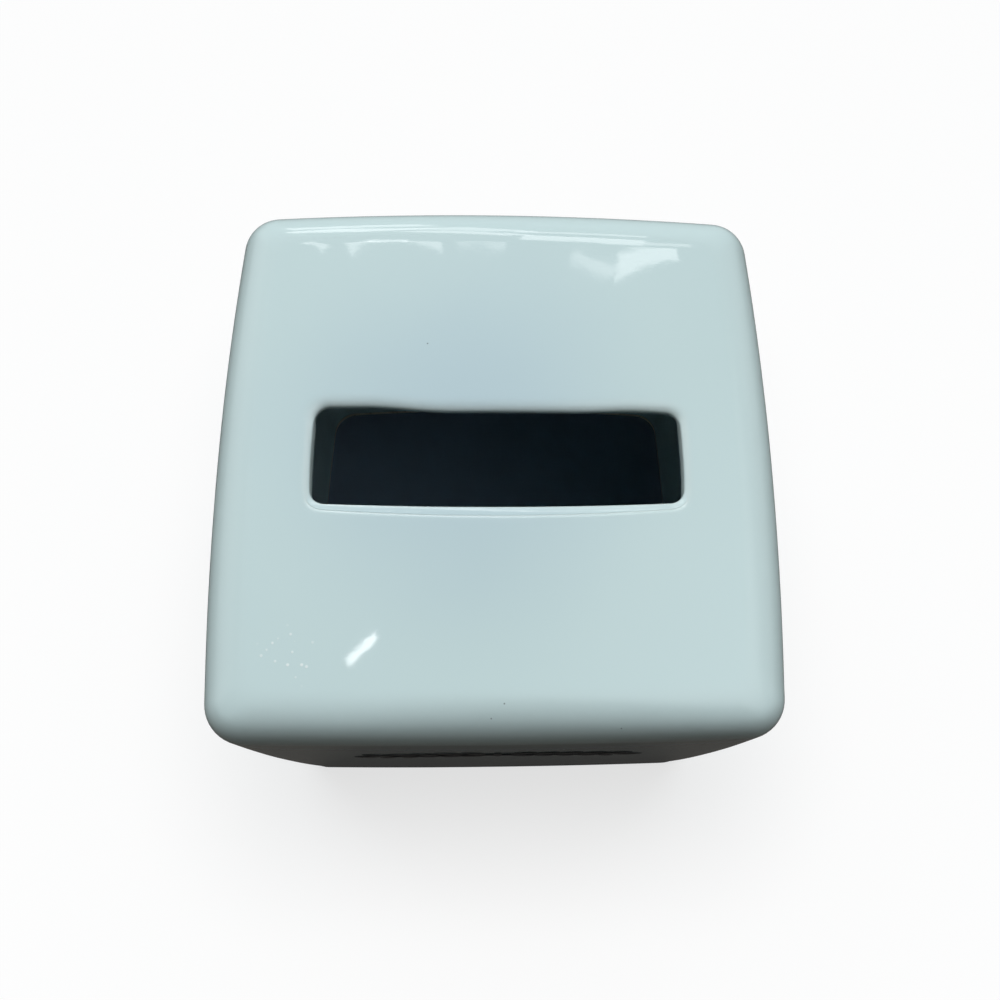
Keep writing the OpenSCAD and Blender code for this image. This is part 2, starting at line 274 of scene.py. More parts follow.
def clay_mesh(name):
    """The clay as one closed loop of rings, with what the glaze needs to know stored on its points."""
    rings, bends, glazed = clay_rings()
    m, n = rings.shape[:2]
    last = int(np.flatnonzero(glazed)[-1])
    for edge, way in ((0, 1), (last, -1)):
        turn = np.linspace(0, 2 * math.pi, n, endpoint=False)
        run = sum(np.sin(k * turn + 1.7 * k + way) / k for k in (2, 3, 5, 8)) * line_run
        near = [edge + way * i for i in range(WALL_STEPS // 2)]
        for i in near:
            fade = math.exp(-(rings[i, 0, 2] - glaze_line_z) / line_run_reach)
            rings[i, :, 2] += run * fade
    step = np.linalg.norm(np.diff(rings, axis=0), axis=2)
    along = np.vstack([np.zeros(n), np.cumsum(step, axis=0)])
    from_line = np.minimum(along, along[last] - along)     # along the clay, from the nearer glaze line
    smooth = bends
    for _ in range(3):
        smooth = (np.roll(smooth, 1, 0) + smooth + np.roll(smooth, -1, 0)) / 3
    i, j = np.meshgrid(np.arange(m), np.arange(n), indexing="ij")
    a, b = i * n + j, i * n + (j + 1) % n
    c, d = (i + 1) % m * n + (j + 1) % n, (i + 1) % m * n + j
    faces = np.stack([a, b, c, d], axis=-1).reshape(-1, 4)
    mesh = bpy.data.meshes.new(name)
    mesh.from_pydata(rings.reshape(-1, 3).tolist(), [], faces.tolist())
    under_glaze = np.repeat(glazed & np.roll(glazed, -1), n)
    for title, kind, domain, values in (("from_line", "FLOAT", "POINT", from_line),
                                        ("bend", "FLOAT", "POINT", smooth),
                                        ("under_glaze", "BOOLEAN", "FACE", under_glaze)):
        mesh.attributes.new(title, kind, domain).data.foreach_set("value", values.ravel())
    mesh.shade_smooth()
    return mesh


def piece(name, mesh):
    """A new object at the origin, with its place in its mesh."""
    made = bpy.data.objects.new(name, mesh)
    scene.collection.objects.link(made)
    return made


def add(tree, kind, inputs=None, **settings):
    """A node with its settings. Each input, by its identifier, name or place, gets a value or a link."""
    node = tree.nodes.new(kind)
    for name, value in settings.items():
        setattr(node, name, value)
    for place, value in (inputs or {}).items():
        named = [s for s in node.inputs if s.identifier == place]
        socket = named[0] if named else node.inputs[place]
        if isinstance(value, bpy.types.Node):
            value = value.outputs[0]
        if isinstance(value, bpy.types.NodeSocket):
            tree.links.new(value, socket)
        else:
            socket.default_value = value
    return node


def new_tree(name, sizes):
    """A Geometry Nodes tree with named inputs, each a pair of its name and socket type."""
    tree = bpy.data.node_groups.new(name, "GeometryNodeTree")
    tree.interface.new_socket("Geometry", in_out="INPUT", socket_type="NodeSocketGeometry")
    for title, kind in sizes.items():
        tree.interface.new_socket(title, in_out="INPUT", socket_type="NodeSocket" + kind)
    tree.interface.new_socket("Geometry", in_out="OUTPUT", socket_type="NodeSocketGeometry")
    return tree, tree.nodes.new("NodeGroupInput").outputs


def close_tree(tree, geometry, material):
    """Ends a tree: instances become real, and the faces get the piece's material."""
    real = add(tree, "GeometryNodeRealizeInstances", {"Geometry": geometry})
    faced = add(tree, "GeometryNodeSetMaterial", {"Geometry": real, "Material": material})
    add(tree, "NodeGroupOutput", {0: faced})


def grow(made, tree, values):
    """Runs a tree on a piece with these values and keeps the result as the piece's plain mesh."""
    modifier = made.modifiers.new(tree.name, "NODES")
    modifier.node_group = tree
    for socket in tree.interface.items_tree:
        if socket.in_out == "INPUT" and socket.name in values:
            modifier[socket.identifier] = values[socket.name]
    grown = made.evaluated_get(bpy.context.evaluated_depsgraph_get())
    made.data = bpy.data.meshes.new_from_object(grown)
    made.modifiers.clear()


def srgb(hex_colour):
    """The linear colour of an sRGB hex value."""
    parts = [int(hex_colour[i:i + 2], 16) / 255 for i in (1, 3, 5)]
    return [c / 12.92 if c <= 0.04045 else ((c + 0.055) / 1.055) ** 2.4 for c in parts] + [1]


def new_material(name):
    """An empty node material and its tree."""
    material = bpy.data.materials.new(name)
    material.use_nodes = True
    tree = material.node_tree
    tree.nodes.clear()
    return material, tree


# Biscuit-fired white earthenware: matt and chalky, cream rather than white, with fine dark grains
# of grog and the faint horizontal drag of the sponge.
biscuit, tree = new_material("sponged_biscuit_earthenware")
place = add(tree, "ShaderNodeTexCoord").outputs["Object"]
grain_size, blotch_size, grog_gap, sponge_drag = 0.5 * MM, 9 * MM, 2.2 * MM, 9
blotches = add(tree, "ShaderNodeTexNoise", {"Vector": place, "Scale": 1 / blotch_size, "Detail": 3})
tone = add(tree, "ShaderNodeMix", {"Factor_Float": blotches, "A_Color": srgb("#D6CDBC"),
                                   "B_Color": srgb("#E4DDD0")}, data_type="RGBA")
grog = add(tree, "ShaderNodeTexVoronoi", {"Vector": place, "Scale": 1 / grog_gap})
speck = add(tree, "ShaderNodeMapRange", {"Value": grog, "From Min": 0.10, "From Max": 0.16,
                                         "To Min": 1.0, "To Max": 0.0})
clay_colour = add(tree, "ShaderNodeMix", {"Factor_Float": speck, "A_Color": tone.outputs[2],
                                          "B_Color": srgb("#8E8472")}, data_type="RGBA")
drag = add(tree, "ShaderNodeVectorMath", {0: place, 1: (1, 1, sponge_drag)}, operation="MULTIPLY")
grain = add(tree, "ShaderNodeTexNoise", {"Vector": drag, "Scale": 1 / grain_size / sponge_drag,
                                         "Detail": 6})
rough = add(tree, "ShaderNodeMapRange", {"Value": grain, "To Min": 0.78, "To Max": 0.92})
bump = add(tree, "ShaderNodeBump", {"Height": grain, "Strength": 0.5, "Distance": 0.15 * MM})
shader = add(tree, "ShaderNodeBsdfPrincipled", {"Base Color": clay_colour.outputs[2], "Roughness": rough,
                                                "IOR": 1.5, "Normal": bump})
add(tree, "ShaderNodeOutputMaterial", {"Surface": shader})

# The clay dried and fired a little unevenly, which shows in how a long reflection wavers. The foot
# was ground level, so the waves die out towards it.
cast, sizes = new_tree("slip_cast_surface", {"Wave Depth": "Float", "Wave Length": "Float",
                                             "Foot": "Float", "Level Reach": "Float",
                                             "Material": "Material"})
wave_scale = add(cast, "ShaderNodeMath", {0: 1.0, 1: sizes["Wave Length"]}, operation="DIVIDE")
waves = add(cast, "ShaderNodeTexNoise", {"Scale": wave_scale, "Detail": 1.0, "Roughness": 0.35})
height = add(cast, "ShaderNodeSeparateXYZ", {0: add(cast, "GeometryNodeInputPosition")}).outputs["Z"]
level_end = add(cast, "ShaderNodeMath", {0: sizes["Foot"], 1: sizes["Level Reach"]})
unlevel = add(cast, "ShaderNodeMapRange", {"Value": height, "From Min": sizes["Foot"],
                                           "From Max": level_end}, interpolation_type="SMOOTHSTEP")
depth = add(cast, "ShaderNodeMath", {0: waves, 1: sizes["Wave Depth"]}, operation="MULTIPLY")
depth = add(cast, "ShaderNodeMath", {0: depth, 1: unlevel}, operation="MULTIPLY")
inward = add(cast, "ShaderNodeMath", {0: depth, 1: -1.0}, operation="MULTIPLY")
offset = add(cast, "ShaderNodeVectorMath", {0: add(cast, "GeometryNodeInputNormal"), "Scale": inward},
             operation="SCALE")
moved = add(cast, "GeometryNodeSetPosition", {"Geometry": sizes["Geometry"], "Offset": offset})
close_tree(cast, moved, sizes["Material"])

clay = piece("clay_cover", clay_mesh("clay_cover"))
grow(clay, cast, {"Wave Depth": 0.06 * MM, "Wave Length": 36 * MM, "Foot": foot_z,
                  "Level Reach": 16 * MM, "Material": biscuit})
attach(clay, "root")
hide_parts("clay_body")


# The glaze. The biscuit pot is rinsed and dipped in a pale blue-green glaze, which melts to a glass
# skin 0.4 mm thick. It pulls thin over the lips and the rounded edges, pools in the hollows, and
# ends above the foot in a soft rolled bead.

glaze_material, tree = new_material("pale_celadon_white_gloss_glaze")
place = add(tree, "ShaderNodeTexCoord").outputs["Object"]
bend = add(tree, "ShaderNodeAttribute", attribute_name="bend").outputs["Fac"]
# The top is painted darker and bluer towards its middle, in a patch with a drifting outline: a painted
# shade and painted reflection of the dim room over it, not a thicker glaze.
painted_shade_middle, painted_shade_r, painted_shade_end = Vector((-8 * MM, 5 * MM, cover_top)), 14 * MM, 74 * MM
drift_size, drift_reach = 55 * MM, 24 * MM
drift = add(tree, "ShaderNodeTexNoise", {"Vector": place, "Scale": 1 / drift_size, "Detail": 2,
                                         "Roughness": 0.4})
from_painted_shade = add(tree, "ShaderNodeVectorMath", {0: place, 1: painted_shade_middle},
                operation="DISTANCE").outputs["Value"]
from_painted_shade = add(tree, "ShaderNodeMath", {0: drift, 1: drift_reach, 2: from_painted_shade}, operation="MULTIPLY_ADD")
outward = add(tree, "ShaderNodeMapRange", {"Value": from_painted_shade, "From Min": painted_shade_r, "From Max": painted_shade_end},
              interpolation_type="SMOOTHSTEP")
# The glaze colour, with the painted shade darker towards the middle of the top.
glaze_and_painted_shade_colour = add(tree, "ShaderNodeMix", {"Factor_Float": outward, "A_Color": srgb("#BCD0D6"),
                                          "B_Color": srgb("#CADDDD")}, data_type="RGBA")
# It is paler where it pulled thin over a bend and deeper where it pooled in a hollow.
thin = add(tree, "ShaderNodeMapRange", {"Value": bend, "From Min": 1 / (30 * MM), "From Max": 1 / (2 * MM)})
thin_share = add(tree, "ShaderNodeMath", {0: thin, 1: 0.5}, operation="MULTIPLY")
edge_colour = add(tree, "ShaderNodeMix", {"Factor_Float": thin_share, "A_Color": glaze_and_painted_shade_colour.outputs[2],
                                          "B_Color": srgb("#D9E2DF")}, data_type="RGBA")
pool = add(tree, "ShaderNodeMapRange", {"Value": bend, "From Min": -1 / (60 * MM), "From Max": -1 / (7 * MM)})
pool_share = add(tree, "ShaderNodeMath", {0: pool, 1: 0.6}, operation="MULTIPLY")
glaze_colour = add(tree, "ShaderNodeMix", {"Factor_Float": pool_share, "A_Color": edge_colour.outputs[2],
                                           "B_Color": srgb("#A9C4C9")}, data_type="RGBA")
# Four pinholes, where gas broke through the glaze, painted as dark dots: painted shade for holes that the
# surface doesn't have. And a few crumbs of dry glaze that stuck near the front left corner.
pinhole_r, crumb_gap, crumb_r, crumbs_reach = 0.24 * MM, 2.0 * MM, 0.45 * MM, 8 * MM
crumbs_middle = Vector((-47 * MM, -50 * MM, cover_top))
marked = glaze_colour.outputs[2]
for spot in ((-17.5, 26.9, 139.5), (1.3, -60.5, 138.8), (-1.6, -63.6, 137.55), (27.5, -65.9, 135.9)):
    off = add(tree, "ShaderNodeVectorMath", {0: place, 1: Vector(spot) * MM}, operation="DISTANCE")
    # Painted shade: each pinhole is a darker dot of colour with no pit under it.
    painted_pinhole_shade = add(tree, "ShaderNodeMapRange", {"Value": off.outputs["Value"], "From Min": 0.6 * pinhole_r,
                                            "From Max": pinhole_r, "To Min": 0.75, "To Max": 0.0})
    marked = add(tree, "ShaderNodeMix", {"Factor_Float": painted_pinhole_shade, "A_Color": marked,
                                         "B_Color": srgb("#59656A")}, data_type="RGBA").outputs[2]
crumb = add(tree, "ShaderNodeTexVoronoi", {"Vector": place, "Scale": 1 / crumb_gap}).outputs["Distance"]
crumb = add(tree, "ShaderNodeMapRange", {"Value": crumb, "From Min": 0.5 * crumb_r / crumb_gap,
                                         "From Max": crumb_r / crumb_gap, "To Min": 1.0, "To Max": 0.0})
off = add(tree, "ShaderNodeVectorMath", {0: place, 1: crumbs_middle}, operation="DISTANCE")
here = add(tree, "ShaderNodeMapRange", {"Value": off.outputs["Value"], "From Min": 0.6 * crumbs_reach,
                                        "From Max": crumbs_reach, "To Min": 1.0, "To Max": 0.0})
crumb = add(tree, "ShaderNodeMath", {0: crumb, 1: here}, operation="MULTIPLY")
crumb_share = add(tree, "ShaderNodeMath", {0: crumb, 1: 0.8}, operation="MULTIPLY")
marked = add(tree, "ShaderNodeMix", {"Factor_Float": crumb_share, "A_Color": marked,
                                     "B_Color": srgb("#EDF3F2")}, data_type="RGBA").outputs[2]
peel = add(tree, "ShaderNodeTexNoise", {"Vector": place, "Scale": 1 / (5 * MM), "Detail": 2})
bump = add(tree, "ShaderNodeBump", {"Height": peel, "Strength": 0.25, "Distance": 0.02 * MM})
bump = add(tree, "ShaderNodeBump", {"Height": crumb, "Strength": 0.5, "Distance": 0.05 * MM, "Normal": bump})
haze = add(tree, "ShaderNodeTexNoise", {"Vector": place, "Scale": 1 / (18 * MM), "Detail": 4})
gloss = add(tree, "ShaderNodeMapRange", {"Value": haze, "To Min": 0.02, "To Max": 0.045})
shader = add(tree, "ShaderNodeBsdfPrincipled", {"Base Color": marked, "Roughness": gloss,
                                                "IOR": 1.52, "Normal": bump})
add(tree, "ShaderNodeOutputMaterial", {"Surface": shader})

dip, sizes = new_tree("dipped_glaze", {
    "Thickness": "Float", "Bead": "Float", "Bead Swell": "Float", "Edge Thinning": "Float",
    "Ripple Depth": "Float", "Ripple Length": "Float", "Material": "Material"})
clay_faces = add(dip, "GeometryNodeSeparateGeometry", {
    "Geometry": sizes["Geometry"],
    "Selection": add(dip, "GeometryNodeInputNamedAttribute", {"Name": "under_glaze"}, data_type="BOOLEAN")},
    domain="FACE")
distance = add(dip, "GeometryNodeInputNamedAttribute", {"Name": "from_line"}, data_type="FLOAT")
bend_out = add(dip, "GeometryNodeInputNamedAttribute", {"Name": "bend"}, data_type="FLOAT")
thinned = add(dip, "ShaderNodeMath", {0: bend_out, 1: sizes["Edge Thinning"]}, operation="MULTIPLY")
kept = add(dip, "ShaderNodeMath", {0: 1.0, 1: thinned}, operation="SUBTRACT", use_clamp=True)
ripple_scale = add(dip, "ShaderNodeMath", {0: 1.0, 1: sizes["Ripple Length"]}, operation="DIVIDE")
ripples = add(dip, "ShaderNodeTexNoise", {"Scale": ripple_scale, "Detail": 1.0})

# Its sums, each with a name, an operation and what that takes: numbers, sizes and earlier sums. The
# glaze starts at its line in a round edge, swells to a bead and then ripples. A bend keeps less of it.
known = dict(sizes.items()) | {"distance": distance, "kept": kept, "ripples": ripples}
for title, operation, *terms in (
        ("reach", "DIVIDE", "distance", "Bead"),
        ("short", "MINIMUM", "reach", 1.0),
        ("short", "SUBTRACT", 1.0, "short"),
        ("round end", "POWER", "short", 2.0),
        ("round end", "SUBTRACT", 1.0, "round end"),
        ("round end", "SQRT", "round end"),
        ("past", "SUBTRACT", "reach", 1.2),
        ("hump", "MULTIPLY", "past", "past"),
        ("hump", "MULTIPLY", "hump", -1.0),
        ("hump", "EXPONENT", "hump"),
        ("swollen", "MULTIPLY_ADD", "hump", "Bead Swell", 1.0),
        ("ripple", "MULTIPLY", "ripples", "Ripple Depth"),
        ("thick", "SUBTRACT", "Thickness", "ripple"),
        ("thick", "MULTIPLY", "thick", "round end"),
        ("thick", "MULTIPLY", "thick", "swollen"),
        ("thick", "MULTIPLY", "thick", "kept")):
    inputs = {place: known.get(term, term) for place, term in enumerate(terms)}
    known[title] = add(dip, "ShaderNodeMath", inputs, operation=operation)
rise = add(dip, "ShaderNodeVectorMath", {0: add(dip, "GeometryNodeInputNormal"), "Scale": known["thick"]},
           operation="SCALE")
face_skin = add(dip, "GeometryNodeSetPosition", {"Geometry": clay_faces, "Offset": rise})
back_skin = add(dip, "GeometryNodeFlipFaces", {"Mesh": clay_faces})
both = add(dip, "GeometryNodeJoinGeometry", {"Geometry": back_skin})
dip.links.new(face_skin.outputs[0], both.inputs[0])
sealed = add(dip, "GeometryNodeMergeByDistance", {"Geometry": both, "Distance": 0.004 * MM})
close_tree(dip, sealed, sizes["Material"])

glaze = piece("glaze_skin", clay.data.copy())
grow(glaze, dip, {"Thickness": glaze_t, "Bead": 0.9 * MM, "Bead Swell": 0.5, "Edge Thinning": 0.6 * MM,
                  "Ripple Depth": 0.03 * MM, "Ripple Length": 14 * MM, "Material": glaze_material})
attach(glaze, "root")
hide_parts("glaze_coat")


# The leaf sprig. Black slip is trailed from a nozzle onto the glazed front, a stem first and then
# leaf by leaf, and fires to a glossy raised line. It stands where the real cover carries a word,
# which isn't copied.

slip_material, tree = new_material("glossy_black_trailed_slip")
place = add(tree, "ShaderNodeTexCoord").outputs["Object"]
density = add(tree, "ShaderNodeTexNoise", {"Vector": place, "Scale": 1 / (4 * MM), "Detail": 3})
slip_colour = add(tree, "ShaderNodeMix", {"Factor_Float": density, "A_Color": srgb("#0E1012"),
                                          "B_Color": srgb("#22262A")}, data_type="RGBA")
drag = add(tree, "ShaderNodeTexNoise", {"Vector": place, "Scale": 1 / (0.8 * MM), "Detail": 2})
bump = add(tree, "ShaderNodeBump", {"Height": drag, "Strength": 0.4, "Distance": 0.04 * MM})
gloss = add(tree, "ShaderNodeMapRange", {"Value": density, "To Min": 0.1, "To Max": 0.22})
shader = add(tree, "ShaderNodeBsdfPrincipled", {"Base Color": slip_colour.outputs[2], "Roughness": gloss,
                                                "IOR": 1.52, "Normal": bump})
add(tree, "ShaderNodeOutputMaterial", {"Surface": shader})

trail, sizes = new_tree("trailed_sprig", {
    "Length": "Float", "Height": "Float", "Arch": "Float", "Stem Width": "Float", "Relief": "Float",
    "Sunk Share": "Float", "Leaf Length": "Float", "Leaf Width": "Float", "Leaf Gap": "Float",
    "Leaf Angle": "Float", "Leaf Pairs": "Int", "Berry": "Float", "Seed": "Int", "Front": "Object",
    "Material": "Material"})
at = add(trail, "ShaderNodeSeparateXYZ", {0: add(trail, "GeometryNodeInputPosition")}).outputs
along = add(trail, "GeometryNodeSplineParameter").outputs["Factor"]
pulse = add(trail, "ShaderNodeTexNoise", {"Scale": 1 / (5 * MM), "Detail": 1.0})
uneven = add(trail, "ShaderNodeMapRange", {"Value": pulse, "To Min": 0.82, "To Max": 1.0})

# The stem is a round bead with rounded ends. A leaf is drawn along +X from a sphere: fuller towards
# its root, pointed at both ends, with the nozzle's groove down its middle.
known = dict(sizes.items()) | dict(at.items()) | {"along": along, "uneven": uneven}
for title, operation, *terms in (
        ("half length", "MULTIPLY", "Length", 0.5),
        ("start x", "MULTIPLY", "half length", -1.0),
        ("share", "DIVIDE", "X", "half length"),
        ("share squared", "MULTIPLY", "share", "share"),
        ("arch share", "SUBTRACT", 1.0, "share squared"),
        ("stem z", "MULTIPLY_ADD", "Arch", "arch share", "Height"),
        ("from middle", "MULTIPLY_ADD", "along", 2.0, -1.0),
        ("from middle", "ABSOLUTE", "from middle"),
        ("end fall", "POWER", "from middle", 30.0),
        ("end left", "SUBTRACT", 1.0, "end fall"),
        ("end left", "MAXIMUM", "end left", 0.0),
        ("taper", "SQRT", "end left"),
        ("stem r", "MULTIPLY", "Stem Width", 0.5),
        ("even r", "MULTIPLY", "taper", "uneven"),
        ("bead r", "MULTIPLY", "stem r", "even r"),
        ("flat", "DIVIDE", "Relief", "stem r"),
        ("bead y", "MULTIPLY", "Y", "flat"),
        ("leaf at", "MULTIPLY_ADD", "Z", 0.5, 0.5),
        ("leaf at", "MAXIMUM", "leaf at", 0.0),
        ("leaf turn", "POWER", "leaf at", 0.8),
        ("leaf turn", "MULTIPLY", "leaf turn", math.pi),
        ("swell", "SINE", "leaf turn"),
        ("swell", "MAXIMUM", "swell", 0.0),
        ("z squared", "MULTIPLY", "Z", "Z"),
        ("round r", "SUBTRACT", 1.0001, "z squared"),
        ("round r", "SQRT", "round r"),
        ("leaf side", "DIVIDE", "X", "round r"),
        ("leaf up", "DIVIDE", "Y", "round r"),
        ("groove", "MULTIPLY", "leaf side", "leaf side"),
        ("groove", "MULTIPLY", "groove", -14.0),
        ("groove", "EXPONENT", "groove"),
        ("crest", "MULTIPLY_ADD", "groove", -0.35, 1.0),
        ("leaf height", "SQRT", "swell"),
        ("leaf height", "MULTIPLY", "leaf height", "Relief"),
        ("leaf x", "MULTIPLY", "leaf at", "Leaf Length"),
        ("leaf y", "MULTIPLY", "leaf up", "crest"),
        ("leaf y", "MULTIPLY", "leaf y", "leaf height"),
        ("leaf half", "MULTIPLY", "Leaf Width", 0.5),
        ("leaf half", "MULTIPLY", "leaf half", "swell"),
        ("leaf z", "MULTIPLY", "leaf side", "leaf half"),
        ("step x", "DIVIDE", "half length", "Leaf Pairs"),
        ("leaf count", "MULTIPLY", "Leaf Pairs", 2.0),
        ("first x", "MULTIPLY_ADD", "step x", 0.5, "start x"),
        ("tip x", "ADD", "half length", "Leaf Gap"),
        ("tip start", "MULTIPLY", "tip x", -1.0),
        ("tip step", "MULTIPLY", "tip x", 2.0),
        ("fall", "MULTIPLY", "Arch", -2.0),
        ("fall", "MULTIPLY", "fall", "share"),
        ("fall", "DIVIDE", "fall", "half length"),
        ("slope", "ARCTANGENT", "fall"),
        ("slope sine", "SINE", "slope"),
        ("slope cosine", "COSINE", "slope"),
        ("way", "SIGN", "X"),
        ("slope out", "MULTIPLY", "slope", "way"),
        ("root off", "MULTIPLY_ADD", "Stem Width", 0.5, "Leaf Gap"),
        ("berry r", "MULTIPLY", "Berry", 0.5),
        ("berry off", "ADD", "root off", "berry r"),
        ("middle z", "ADD", "Height", "Arch"),
        ("berry start", "SUBTRACT", "middle z", "berry off"),
        ("berry step", "MULTIPLY", "berry off", 2.0)):
    inputs = {place: known.get(term, term) for place, term in enumerate(terms)}
    known[title] = add(trail, "ShaderNodeMath", inputs, operation=operation)

line = add(trail, "GeometryNodeCurvePrimitiveLine", {
    "Start": add(trail, "ShaderNodeCombineXYZ", {"X": known["start x"]}),
    "End": add(trail, "ShaderNodeCombineXYZ", {"X": known["half length"]})})
line = add(trail, "GeometryNodeResampleCurve", {"Curve": line, "Count": 120})
line = add(trail, "GeometryNodeSetPosition", {"Geometry": line, "Position": add(
    trail, "ShaderNodeCombineXYZ", {"X": at["X"], "Z": known["stem z"]})})
ring = add(trail, "GeometryNodeCurvePrimitiveCircle", {"Resolution": 14, "Radius": 1.0})
stem = add(trail, "GeometryNodeCurveToMesh", {"Curve": line, "Profile Curve": ring, "Scale": known["bead r"],
                                              "Fill Caps": True})
stem = add(trail, "GeometryNodeSetPosition", {"Geometry": stem, "Position": add(
    trail, "ShaderNodeCombineXYZ", {"X": at["X"], "Y": known["bead y"], "Z": at["Z"]})})
ball = add(trail, "GeometryNodeMeshUVSphere", {"Segments": 20, "Rings": 16, "Radius": 1.0})
leaf = add(trail, "GeometryNodeSetPosition", {"Geometry": ball, "Position": add(
    trail, "ShaderNodeCombineXYZ", {"X": known["leaf x"], "Y": known["leaf y"], "Z": known["leaf z"]})})
stem_roots = add(trail, "GeometryNodeMeshLine", {
    "Count": known["leaf count"],
    "Start Location": add(trail, "ShaderNodeCombineXYZ", {"X": known["first x"]}),
    "Offset": add(trail, "ShaderNodeCombineXYZ", {"X": known["step x"]})})
tip_roots = add(trail, "GeometryNodeMeshLine", {
    "Count": 2, "Start Location": add(trail, "ShaderNodeCombineXYZ", {"X": known["tip start"]}),
    "Offset": add(trail, "ShaderNodeCombineXYZ", {"X": known["tip step"]})})

# The leaves over the stem, those under it and the two at its tips. Each is drawn by hand, so their
# angles (in radians) and sizes differ a little.
most_sway, least_size = 0.07, 0.9
ranks = []
for rank, (roots, up) in enumerate(((stem_roots, 1.0), (stem_roots, -1.0), (tip_roots, 0.0))):
    for title, operation, *terms in (
            ("off", "MULTIPLY", "root off", up),
            ("root x", "MULTIPLY", "off", "slope sine"),
            ("root x", "SUBTRACT", "X", "root x"),
            ("root z", "MULTIPLY_ADD", "off", "slope cosine", "stem z"),
            ("sway seed", "ADD", "Seed", float(rank)),
            ("size seed", "ADD", "Seed", rank + 10.0),
            ("lean", "MULTIPLY_ADD", "Leaf Angle", up, "slope out")):
        inputs = {place: known.get(term, term) for place, term in enumerate(terms)}
        known[title] = add(trail, "ShaderNodeMath", inputs, operation=operation)
    root = add(trail, "ShaderNodeCombineXYZ", {"X": known["root x"], "Z": known["root z"]})
    sway = add(trail, "FunctionNodeRandomValue", {"Min_001": -most_sway, "Max_001": most_sway,
                                                  "Seed": known["sway seed"]})
    size = add(trail, "FunctionNodeRandomValue", {"Min_001": least_size, "Max_001": 1.0,
                                                  "Seed": known["size seed"]})
    lean = add(trail, "ShaderNodeMath", {0: known["lean"], 1: sway.outputs[1]})
    out = add(trail, "ShaderNodeMath", {0: lean}, operation="COSINE")
    out = add(trail, "ShaderNodeMath", {0: out, 1: known["way"]}, operation="MULTIPLY")
    rise = add(trail, "ShaderNodeMath", {0: lean}, operation="SINE")
    aim = add(trail, "ShaderNodeCombineXYZ", {"X": out, "Z": rise})
    turned = add(trail, "FunctionNodeAlignRotationToVector", {"Vector": aim}, axis="X", pivot_axis="Y")
    placed = add(trail, "GeometryNodeSetPosition", {"Geometry": roots, "Position": root})
    ranks.append(add(trail, "GeometryNodeInstanceOnPoints", {
        "Points": placed, "Instance": leaf, "Rotation": turned, "Scale": size.outputs[1]}))

# Two berries, over and under the middle of the stem.
berry_line = add(trail, "GeometryNodeMeshLine", {
    "Count": 2, "Start Location": add(trail, "ShaderNodeCombineXYZ", {"Z": known["berry start"]}),
    "Offset": add(trail, "ShaderNodeCombineXYZ", {"Z": known["berry step"]})})
berry = add(trail, "GeometryNodeMeshUVSphere", {"Segments": 24, "Rings": 12, "Radius": 1.0})
berry_size = add(trail, "ShaderNodeCombineXYZ", {"X": known["berry r"], "Y": sizes["Relief"],
                                                 "Z": known["berry r"]})
ranks.append(add(trail, "GeometryNodeInstanceOnPoints", {"Points": berry_line, "Instance": berry,
                                                         "Scale": berry_size}))

# All of it is laid against the front. The half that lies behind the front's face is flattened, as the
# slip sank into the glaze.
drawn = add(trail, "GeometryNodeJoinGeometry", {"Geometry": stem})
for rank in ranks:
    trail.links.new(rank.outputs[0], drawn.inputs[0])
drawn = add(trail, "GeometryNodeRealizeInstances", {"Geometry": drawn})
front_face = add(trail, "GeometryNodeObjectInfo", {"Object": sizes["Front"]}).outputs["Geometry"]
from_front = add(trail, "ShaderNodeCombineXYZ", {"X": at["X"], "Y": -1.0, "Z": at["Z"]})
touch = add(trail, "GeometryNodeRaycast", {"Target Geometry": front_face, "Source Position": from_front,
                                           "Ray Direction": (0, 1, 0), "Ray Length": 2.0})
front_y = add(trail, "ShaderNodeSeparateXYZ", {0: touch.outputs["Hit Position"]}).outputs["Y"]
inner = add(trail, "ShaderNodeMath", {0: at["Y"], 1: 0.0}, operation="MAXIMUM")
outer = add(trail, "ShaderNodeMath", {0: at["Y"], 1: 0.0}, operation="MINIMUM")
proud = add(trail, "ShaderNodeMath", {0: inner, 1: sizes["Sunk Share"], 2: outer}, operation="MULTIPLY_ADD")
laid_y = add(trail, "ShaderNodeMath", {0: front_y, 1: proud})
laid = add(trail, "GeometryNodeSetPosition", {"Geometry": drawn, "Position": add(
    trail, "ShaderNodeCombineXYZ", {"X": at["X"], "Y": laid_y, "Z": at["Z"]})})
laid = add(trail, "GeometryNodeSetShadeSmooth", {"Geometry": laid})
close_tree(trail, laid, sizes["Material"])

sprig = piece("leaf_sprig", bpy.data.meshes.new("leaf_sprig"))
grow(sprig, trail, {"Length": 58 * MM, "Height": 96 * MM, "Arch": 5 * MM, "Stem Width": 1.1 * MM,
                    "Relief": 0.42 * MM, "Sunk Share": 0.3, "Leaf Length": 9 * MM,
                    "Leaf Width": 2.8 * MM, "Leaf Gap": 0.6 * MM, "Leaf Angle": math.radians(38),
                    "Leaf Pairs": 5, "Berry": 2.4 * MM, "Seed": 3, "Front": glaze,
                    "Material": slip_material})
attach(sprig, "root")
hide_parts("front_sprig")


# The bumper pads. Clear polyurethane bumpers, cast as low discs and stuck on by their flat backs,
# lift the foot off the shelf at its four corners so that clay doesn't grate on it.

pad_material, tree = new_material("clear_polyurethane_bumper")
place = add(tree, "ShaderNodeTexCoord").outputs["Object"]
dust = add(tree, "ShaderNodeTexNoise", {"Vector": place, "Scale": 1 / (1.5 * MM), "Detail": 4})
gloss = add(tree, "ShaderNodeMapRange", {"Value": dust, "To Min": 0.15, "To Max": 0.4})
shader = add(tree, "ShaderNodeBsdfPrincipled", {"Base Color": srgb("#DDE1DF"), "Roughness": gloss,
                                                "IOR": 1.49, "Transmission Weight": 0.6})
add(tree, "ShaderNodeOutputMaterial", {"Surface": shader})

